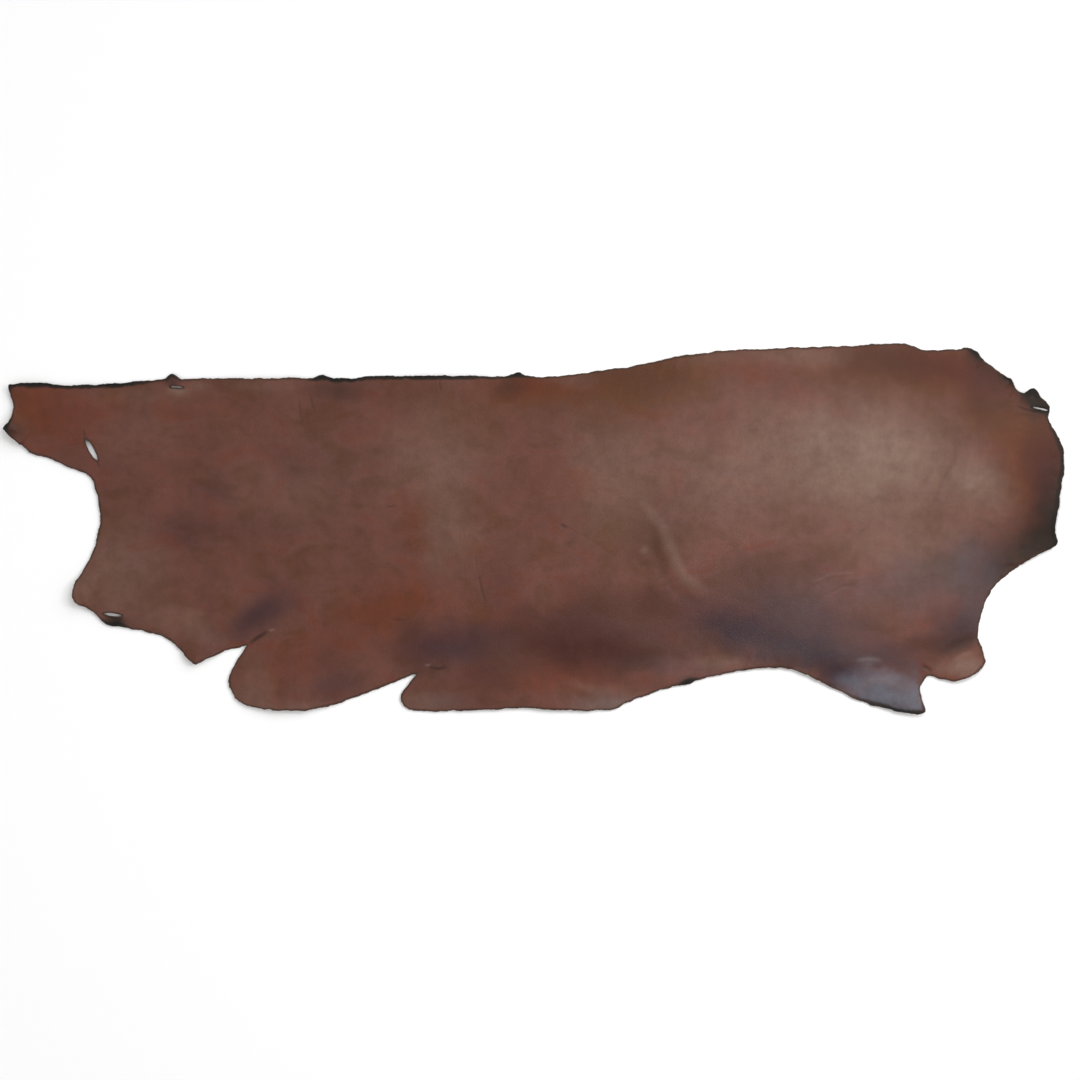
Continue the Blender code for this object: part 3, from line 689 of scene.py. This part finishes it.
def raise_creases(work, sizes):
    """Lifts the creases, the slits' lips and a slow unevenness out of the sheet."""
    places = flat_places(work)
    height = np.array([vertex.co.z for vertex in work.verts])
    quick_pitch = sizes.swell_pitch * QUICK_SWELL_PITCH
    slow = np.array([noise.noise(vertex.co / sizes.swell_pitch) for vertex in work.verts])
    quick = np.array([noise.noise(vertex.co / quick_pitch) for vertex in work.verts])
    slow = np.clip(slow, -DEEPEST_SWELL, 1.0) + DEEPEST_SWELL
    height += sizes.swell_height * (slow + QUICK_SWELL_HEIGHT * quick)
    for crease in CREASES.values():
        height += crease.height / MM_IN_METRE * crease_share(crease, places)
    for lip in LIPS.values():
        along, across = turned(places, bench_points([(lip.along, lip.down)])[0], lip.turn)
        rise = bump(along / (lip.length * CM / 2)) * bump(across / (lip.width * CM))
        height += np.where(across * lip.side > 0, lip.height / MM_IN_METRE * rise, 0.0)
    height = np.maximum(height, sizes.thickness)
    for vertex, z in zip(work.verts, height):
        vertex.co.z = z


def rim_distance(work):
    """How far each vertex is from the nearest cut."""
    edges = [edge for edge in work.edges if edge.is_boundary]
    tree = kdtree.KDTree(len(edges) * RIM_STEPS)
    for i, edge in enumerate(edges):
        start, end = (vertex.co.to_2d().to_3d() for vertex in edge.verts)
        for step in range(RIM_STEPS):
            tree.insert(start.lerp(end, step / RIM_STEPS), i)
    tree.balance()
    distance = [tree.find(vertex.co.to_2d().to_3d())[2] for vertex in work.verts]
    return np.where([vertex.is_boundary for vertex in work.verts], 0.0, distance)


def drifted(work, drift):
    """The vertices' places pushed about, as dye runs, so that a cloud's edge is smoky."""
    places = flat_places(work)
    pushes = []
    for vertex in work.verts:
        push = Vector()
        for pitch, share in DRIFTS:
            push += noise.noise_vector(vertex.co / pitch) * share
        pushes.append(push.to_2d())
    return places + np.array(pushes) * drift


def cloud_masks(work, sizes):
    """How much of each tone is at each vertex, from 0 to 1."""
    loose = drifted(work, sizes.cloud_drift)
    tight = drifted(work, sizes.cloud_drift * SMALL_CLOUD_DRIFT)
    masks = {}
    for tone, clouds in CLOUDS.items():
        bare = np.ones(len(loose))
        for cloud in (Cloud(*numbers) for numbers in clouds):
            small = min(cloud.length, cloud.width) < SMALL_CLOUD
            centre = bench_points([(cloud.along, cloud.down)])[0]
            along, across = turned(tight if small else loose, centre, cloud.turn)
            along /= cloud.length * CM / CLOUD_FALL
            across /= cloud.width * CM / CLOUD_FALL
            bare *= 1 - cloud.strength * bump(np.hypot(along, across))
        masks[tone] = 1 - bare
    return masks


def painted_crease_light(work):
    """How strong the creases' painted highlight and painted shade are at each vertex."""
    places = flat_places(work)
    painted_highlights = np.zeros(len(places))
    painted_shading = np.zeros(len(places))
    for crease in CREASES.values():
        share = crease_share(crease, places) * abs(crease.shade)
        if crease.shade > 0:
            painted_highlights = np.maximum(painted_highlights, share)
        else:
            painted_shading = np.maximum(painted_shading, share)
    return painted_highlights, painted_shading


def build_side(sizes, materials):
    """The finished sheet, and the area of its grain side."""
    noise.seed_set(NOISE_SEED)
    work = grain_layer(sizes)
    cut_finer_at_creases(work)
    distance = rim_distance(work)
    masks = cloud_masks(work, sizes)
    masks["painted_crest_highlight"], masks["painted_hollow_shade"] = painted_crease_light(work)
    masks["rim_distance"] = distance
    fray_edge(work, sizes.edge_fray, distance)
    draw_slits_together(work)
    unfold(work)
    raise_creases(work, sizes)
    mesh = bpy.data.meshes.new("side_of_leather")
    work.to_mesh(mesh)
    flat_area = sum(face.calc_area() for face in work.faces)
    work.free()
    for name, values in masks.items():
        attribute = mesh.attributes.new(name, "FLOAT", "POINT")
        attribute.data.foreach_set("value", values.astype(np.float32))
    for material in materials:
        mesh.materials.append(material)
    mesh.shade_smooth()
    side = bpy.data.objects.new("side_of_leather", mesh)
    bpy.context.scene.collection.objects.link(side)
    skin = side.modifiers.new("thickness", "SOLIDIFY")
    skin.thickness = sizes.thickness
    skin.offset = -1.0
    skin.material_offset = 1
    skin.material_offset_rim = 2
    worn = side.modifiers.new("worn_rim", "BEVEL")
    worn.limit_method = "ANGLE"
    worn.angle_limit = WORN_ANGLE
    worn.width = WORN_RIM
    worn.segments = 1
    worn.harden_normals = True
    return side, flat_area


# Shader groups


def new_group(name, inputs, outputs):
    """An empty shader group with its sockets, and its input and output nodes."""
    group = bpy.data.node_groups.new(name, "ShaderNodeTree")
    for socket, kind, default in inputs:
        made = group.interface.new_socket(name=socket, in_out="INPUT", socket_type=kind)
        if default is not None:
            made.default_value = default
    for socket, kind in outputs:
        group.interface.new_socket(name=socket, in_out="OUTPUT", socket_type=kind)
    return group, group.nodes.new("NodeGroupInput"), group.nodes.new("NodeGroupOutput")


def math_node(tree, operation, a, b, clamp=False):
    node = tree.nodes.new("ShaderNodeMath")
    node.operation = operation
    node.use_clamp = clamp
    plug(tree, a, node.inputs[0])
    plug(tree, b, node.inputs[1])
    return node.outputs[0]


def plug(tree, source, socket):
    """Links a socket, or sets it where the source is a plain value."""
    if isinstance(source, bpy.types.NodeSocket):
        tree.links.new(source, socket)
    else:
        socket.default_value = source


# A mix node has sockets of the same names for each kind of data. These are the colours'.
MIX_A, MIX_B, MIX_RESULT = 6, 7, 2


def mix(tree, factor, a, b, blend="MIX"):
    node = tree.nodes.new("ShaderNodeMix")
    node.data_type = "RGBA"
    node.blend_type = blend
    node.clamp_factor = True
    plug(tree, factor, node.inputs["Factor"])
    plug(tree, a, node.inputs[MIX_A])
    plug(tree, b, node.inputs[MIX_B])
    return node.outputs[MIX_RESULT]


def ramp(tree, value, low, high, to_low=0.0, to_high=1.0):
    node = tree.nodes.new("ShaderNodeMapRange")
    node.interpolation_type = "SMOOTHSTEP"
    plug(tree, value, node.inputs["Value"])
    ends = {"From Min": low, "From Max": high, "To Min": to_low, "To Max": to_high}
    for socket, number in ends.items():
        plug(tree, number, node.inputs[socket])
    return node.outputs["Result"]


def noise_node(tree, place, scale, detail=3.0, roughness=0.55, distortion=0.0):
    node = tree.nodes.new("ShaderNodeTexNoise")
    plug(tree, place, node.inputs["Vector"])
    plug(tree, scale, node.inputs["Scale"])
    node.inputs["Detail"].default_value = detail
    node.inputs["Roughness"].default_value = roughness
    node.inputs["Distortion"].default_value = distortion
    return node.outputs[0]


def stretched(tree, place, scale):
    node = tree.nodes.new("ShaderNodeMapping")
    plug(tree, place, node.inputs["Vector"])
    node.inputs["Scale"].default_value = scale
    return node.outputs["Vector"]


def attribute(tree, name):
    node = tree.nodes.new("ShaderNodeAttribute")
    node.attribute_name = name
    return node.outputs["Fac"]


def mottle_group():
    """Patches and streaks of dye as one value about 0.5, and how warm the dye is."""
    group, given, result = new_group(
        "uneven_dye",
        [("Place", "NodeSocketVector", None), ("Scale", "NodeSocketFloat", 1.0)],
        [("Value", "NodeSocketFloat"), ("Warmth", "NodeSocketFloat")],
    )
    place = given.outputs["Place"]
    scale = given.outputs["Scale"]
    slow = noise_node(group, place, math_node(group, "MULTIPLY", scale, SLOW_DYE), 4.0, 0.6, 0.4)
    quick = noise_node(group, place, math_node(group, "MULTIPLY", scale, QUICK_DYE), 5.0, 0.62)
    streak = noise_node(group, stretched(group, place, DYE_STREAKS), scale, 4.0, 0.6)
    parts = [math_node(group, "MULTIPLY", *pair) for pair in zip((slow, quick, streak), DYE_SHARES)]
    value = math_node(group, "ADD", math_node(group, "ADD", parts[0], parts[1]), parts[2])
    group.links.new(value, result.inputs["Value"])
    warmth = noise_node(group, stretched(group, place, DYE_WARMTH), scale, 3.0, 0.6, 0.6)
    group.links.new(warmth, result.inputs["Warmth"])
    return group


def grain_group():
    """Pebbles of full grain, in three sizes, with pores between them."""
    group, given, result = new_group(
        "full_grain",
        [("Place", "NodeSocketVector", None), ("Pebbles per metre", "NodeSocketFloat", 450.0)],
        [("Height", "NodeSocketFloat"), ("Pores", "NodeSocketFloat")],
    )
    place = given.outputs["Place"]
    count = given.outputs["Pebbles per metre"]
    heights = []
    for share, weight in PEBBLES:
        cells = group.nodes.new("ShaderNodeTexVoronoi")
        cells.feature = "DISTANCE_TO_EDGE"
        group.links.new(place, cells.inputs["Vector"])
        group.links.new(math_node(group, "MULTIPLY", count, share), cells.inputs["Scale"])
        dome = ramp(group, cells.outputs["Distance"], 0.0, PEBBLE_DOME)
        heights.append(math_node(group, "MULTIPLY", dome, weight))
    height = math_node(group, "ADD", math_node(group, "ADD", heights[0], heights[1]), heights[2])
    group.links.new(height, result.inputs["Height"])
    pores = ramp(group, heights[1], 0.0, PORE_WIDTH, 1.0, 0.0)
    group.links.new(pores, result.inputs["Pores"])
    return group


def fibre_group():
    """Torn and brushed fibres of the flesh side and the cut edge."""
    group, given, result = new_group(
        "loose_fibres",
        [("Place", "NodeSocketVector", None), ("Fibres per metre", "NodeSocketFloat", 600.0)],
        [("Height", "NodeSocketFloat"), ("Shade", "NodeSocketFloat")],
    )
    place = given.outputs["Place"]
    count = given.outputs["Fibres per metre"]
    matted = noise_node(group, place, count, 6.0, 0.7, 1.4)
    clumped = noise_node(group, place, math_node(group, "MULTIPLY", count, CLUMPS), 4.0, 0.6, 0.8)
    height = math_node(group, "ADD", math_node(group, "MULTIPLY", matted, FIBRE_SHARE), clumped)
    group.links.new(height, result.inputs["Height"])
    group.links.new(math_node(group, "MULTIPLY", height, FIBRE_SHADE), result.inputs["Shade"])
    return group


def placed_group(tree, group, place, **values):
    node = tree.nodes.new("ShaderNodeGroup")
    node.node_tree = group
    plug(tree, place, node.inputs["Place"])
    for name, value in values.items():
        node.inputs[name.replace("_", " ")].default_value = value
    return node


# Materials


def new_material(name):
    """A material with its tree, its shader and the object's own coordinates."""
    material = bpy.data.materials.new(name)
    material.use_nodes = True
    tree = material.node_tree
    place = tree.nodes.new("ShaderNodeTexCoord").outputs["Object"]
    return material, tree, tree.nodes["Principled BSDF"], place


def bumped(tree, height, depth, shader, normal=None):
    node = tree.nodes.new("ShaderNodeBump")
    node.inputs["Distance"].default_value = depth
    plug(tree, height, node.inputs["Height"])
    if normal:
        tree.links.new(normal, node.inputs["Normal"])
    tree.links.new(node.outputs["Normal"], shader.inputs["Normal"])
    return node.outputs["Normal"]


def grain_material(groups, sizes, colours):
    """The grain side: dye clouds with painted sheen and painted shade, and the creases' painted
    highlight and shade, over the brown, then pores, then a rim along the cut.
    """
    material, tree, shader, place = new_material("brown_grain")
    dye = placed_group(tree, groups["dye"], place)
    grain = placed_group(tree, groups["grain"], place, Pebbles_per_metre=1 / sizes.pebble)
    value, warmth = dye.outputs["Value"], dye.outputs["Warmth"]

    yellower = ramp(tree, warmth, *YELLOWER)
    redder = ramp(tree, warmth, *REDDER)
    skin = mix(tree, yellower, colour(colours.brown), colour(colours.olive))
    skin = mix(tree, redder, skin, colour(colours.russet))
    # the clouds: dye, and painted sheen and painted shade in some tones
    for tone in list(CLOUDS)[:-1]:
        patchy = ramp(tree, value, *PATCHY)
        broken = math_node(tree, "MULTIPLY", attribute(tree, tone), patchy, clamp=True)
        skin = mix(tree, broken, skin, colour(getattr(colours, tone)))
    # painted highlight on the creases' ridges, and painted shade in their hollows, nicks and slits
    painted_crest_highlight = mix(tree, CREST_PAINTED_HIGHLIGHT, skin, colour(colours.pale_and_sheen))
    skin = mix(tree, attribute(tree, "painted_crest_highlight"), skin, painted_crest_highlight)
    painted_hollow_shade = mix(tree, HOLLOW_PAINTED_SHADE, skin, colour(colours.umber_and_shade))
    skin = mix(tree, attribute(tree, "painted_hollow_shade"), skin, painted_hollow_shade)
    skin = mix(tree, 1.0, skin, ramp(tree, value, *LIGHTER), "MULTIPLY")
    pores = math_node(tree, "MULTIPLY", grain.outputs["Pores"], PORE_STRENGTH)
    skin = mix(tree, pores, skin, colour(colours.umber_and_shade))

    # a rim of the cut edge's colour along the cut, and near-black painted shadow where the near-black
    # clouds lie
    black_and_shadow = attribute(tree, "black_and_shadow")
    distance = attribute(tree, "rim_distance")
    uneven = math_node(tree, "MULTIPLY", ramp(tree, value, *UNEVEN_RIM), sizes.rim_width)
    reach = math_node(tree, "MULTIPLY", uneven, ramp(tree, black_and_shadow, 0.0, 1.0, 1.0, RIM_SHADOW_WIDENING))
    rim = ramp(tree, math_node(tree, "DIVIDE", distance, reach), *RIM_FALL)
    rim = math_node(tree, "MULTIPLY", rim, ramp(tree, black_and_shadow, *RIM_STRENGTH))
    skin = mix(tree, rim, skin, mix(tree, black_and_shadow, colour(colours.edge), colour(colours.black_and_shadow)))
    tree.links.new(skin, shader.inputs["Base Color"])

    rough = ramp(tree, value, *SMOOTHER)
    rough = math_node(tree, "ADD", rough, math_node(tree, "MULTIPLY", rim, RIM_ROUGHNESS))
    waxy = math_node(tree, "MULTIPLY", attribute(tree, "slate_and_shade"), WAX_SHINE)
    rough = math_node(tree, "SUBTRACT", rough, waxy)
    tree.links.new(rough, shader.inputs["Roughness"])
    shader.inputs["Specular IOR Level"].default_value = SPECULAR

    pull = noise_node(tree, stretched(tree, place, PULL_SCALE), 1.0, 5.0, 0.6, 0.5)
    soft = bumped(tree, pull, PULL_DEPTH, shader)
    bumped(tree, grain.outputs["Height"], sizes.grain_depth, shader, soft)
    return material


def fibre_material(name, groups, tint, dark, depth, fibres):
    """Bare fibres in a tint, with dark patches."""
    material, tree, shader, place = new_material(name)
    fibre = placed_group(tree, groups["fibre"], place, Fibres_per_metre=fibres)
    dye = placed_group(tree, groups["dye"], place)
    shade = ramp(tree, fibre.outputs["Shade"], *NAP_SHADE)
    nap = mix(tree, 1.0, colour(tint), shade, "MULTIPLY")
    patches = ramp(tree, dye.outputs["Value"], *NAP_PATCHES)
    nap = mix(tree, patches, nap, colour(dark))
    tree.links.new(nap, shader.inputs["Base Color"])
    shader.inputs["Roughness"].default_value = 0.9
    shader.inputs["Specular IOR Level"].default_value = SPECULAR
    bumped(tree, fibre.outputs["Height"], depth, shader)
    return material


def floor_material(tint):
    material, _, shader, _ = new_material("studio_floor")
    shader.inputs["Base Color"].default_value = colour(tint)
    shader.inputs["Roughness"].default_value = 0.95
    shader.inputs["Specular IOR Level"].default_value = 0.0
    return material


# The studio

FLOOR_REACH = 30.0
FLOOR_DROP = 0.0003  # the floor is this far under the hide, so that they don't touch

MIDDLE = (0.0, 0.0, 0.0)
MAIN_PLACE = (3.0, 2.2, 3.2)
MAIN_ANGLE = math.radians(60)
COUNTER_PLACE = (-3.4, -1.4, 3.0)
COUNTER_ANGLE = math.radians(80)
SHEEN_PLACE = (0.80, 0.22, 1.3)
SHEEN_TARGET = (0.78, 0.20, 0.0)
SHEEN_SIZE = (0.7, 0.4)

PICTURE = 1080  # pixels along a side of the photo
PIXEL = 0.002354  # metres on the floor
BOX_MIDDLE = (533.2, 528.8)  # the middle of the hide's box in the photo, in pixels


def add_light(name, kind, place, target, strength):
    """A light at a place, turned towards a target, of watts or of watts a square metre for a sun."""
    data = bpy.data.lights.new(name, kind)
    data.energy = strength
    light = bpy.data.objects.new(name, data)
    light.location = place
    light.rotation_euler = (Vector(target) - Vector(place)).to_track_quat("-Z", "Y").to_euler()
    bpy.context.scene.collection.objects.link(light)
    return data


def studio_floor(tint):
    work = bmesh.new()
    bmesh.ops.create_grid(work, x_segments=1, y_segments=1, size=FLOOR_REACH)
    for vertex in work.verts:
        vertex.co.z = -FLOOR_DROP
    mesh = bpy.data.meshes.new("studio_floor")
    work.to_mesh(mesh)
    work.free()
    mesh.materials.append(floor_material(tint))
    floor = bpy.data.objects.new("studio_floor", mesh)
    bpy.context.scene.collection.objects.link(floor)


def camera_above(height):
    """Looks straight down, so that the hide is as large and in the same place as in the photo."""
    data = bpy.data.cameras.new("camera")
    data.sensor_width = 36.0
    data.lens = data.sensor_width * height / (PICTURE * PIXEL)
    data.clip_end = 50.0
    camera = bpy.data.objects.new("camera", data)
    right = (PICTURE / 2 - BOX_MIDDLE[0]) * PIXEL
    up = (BOX_MIDDLE[1] - PICTURE / 2) * PIXEL
    camera.location = (right, up, height)
    bpy.context.scene.collection.objects.link(camera)
    bpy.context.scene.camera = camera


class LEATHER_OT_side(bpy.types.Operator):
    """Models the hide over its solid and gives it grain, dye with painted sheen and shade, flesh side
    and cut edge
    """

    bl_idname = "leather.side"
    bl_label = "Leather side"
    bl_options = {"REGISTER", "UNDO"}

    def execute(self, context):
        sizes = context.scene.leather_sizes
        colours = context.scene.leather_colours
        groups = {"dye": mottle_group(), "grain": grain_group(), "fibre": fibre_group()}
        materials = (
            grain_material(groups, sizes, colours),
            fibre_material(
                "flesh_side", groups, colours.flesh, colours.brown, FLESH_DEPTH, FLESH_FIBRES
            ),
            fibre_material(
                "cut_edge", groups, colours.edge, colours.black_and_shadow, CUT_DEPTH, CUT_FIBRES
            ),
        )
        side, area = build_side(sizes, materials)
        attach(side, "root")
        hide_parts(NODE)
        return {"FINISHED"}


class LEATHER_OT_studio(bpy.types.Operator):
    """Lays the near-white floor and sets the soft lights and the camera above it"""

    bl_idname = "leather.studio"
    bl_label = "Studio"
    bl_options = {"REGISTER", "UNDO"}

    def execute(self, context):
        settings = context.scene.leather_studio
        studio_floor(settings.floor)
        world = bpy.data.worlds.new("studio")
        world.use_nodes = True
        background = world.node_tree.nodes["Background"]
        background.inputs["Color"].default_value = (1.0, 1.0, 1.0, 1.0)
        background.inputs["Strength"].default_value = settings.fill
        context.scene.world = world
        main_light = add_light("main", "SUN", MAIN_PLACE, MIDDLE, settings.main)
        main_light.angle = MAIN_ANGLE
        counter = add_light("counter", "SUN", COUNTER_PLACE, MIDDLE, settings.counter)
        counter.angle = COUNTER_ANGLE
        sheen = add_light("sheen", "AREA", SHEEN_PLACE, SHEEN_TARGET, settings.sheen)
        sheen.shape = "RECTANGLE"
        sheen.size, sheen.size_y = SHEEN_SIZE
        camera_above(settings.camera_height)
        context.scene.view_settings.view_transform = "Standard"
        return {"FINISHED"}


class LEATHER_PT_sidebar(bpy.types.Panel):
    """Lists the sizes, the colours and the studio's settings, and both operators"""

    bl_label = "Leather side"
    bl_idname = "LEATHER_PT_sidebar"
    bl_space_type = "VIEW_3D"
    bl_region_type = "UI"
    bl_category = "Leather side"

    def draw(self, context):
        for name in ("leather_sizes", "leather_colours", "leather_studio"):
            settings = getattr(context.scene, name)
            box = self.layout.box()
            for field in settings.bl_rna.properties:
                if field.identifier not in ("rna_type", "name"):
                    box.prop(settings, field.identifier)
        self.layout.operator(LEATHER_OT_side.bl_idname)
        self.layout.operator(LEATHER_OT_studio.bl_idname)


CLASSES = (
    LeatherSizes,
    LeatherColours,
    StudioSettings,
    LEATHER_OT_side,
    LEATHER_OT_studio,
    LEATHER_PT_sidebar,
)


def register():
    for cls in CLASSES:
        bpy.utils.register_class(cls)
    bpy.types.Scene.leather_sizes = bpy.props.PointerProperty(type=LeatherSizes)
    bpy.types.Scene.leather_colours = bpy.props.PointerProperty(type=LeatherColours)
    bpy.types.Scene.leather_studio = bpy.props.PointerProperty(type=StudioSettings)


def unregister():
    del bpy.types.Scene.leather_studio
    del bpy.types.Scene.leather_colours
    del bpy.types.Scene.leather_sizes
    for cls in reversed(CLASSES):
        bpy.utils.unregister_class(cls)


def main():
    register()
    bpy.ops.leather.side()
    bpy.ops.leather.studio()
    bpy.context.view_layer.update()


if __name__ == "__main__":
    main()
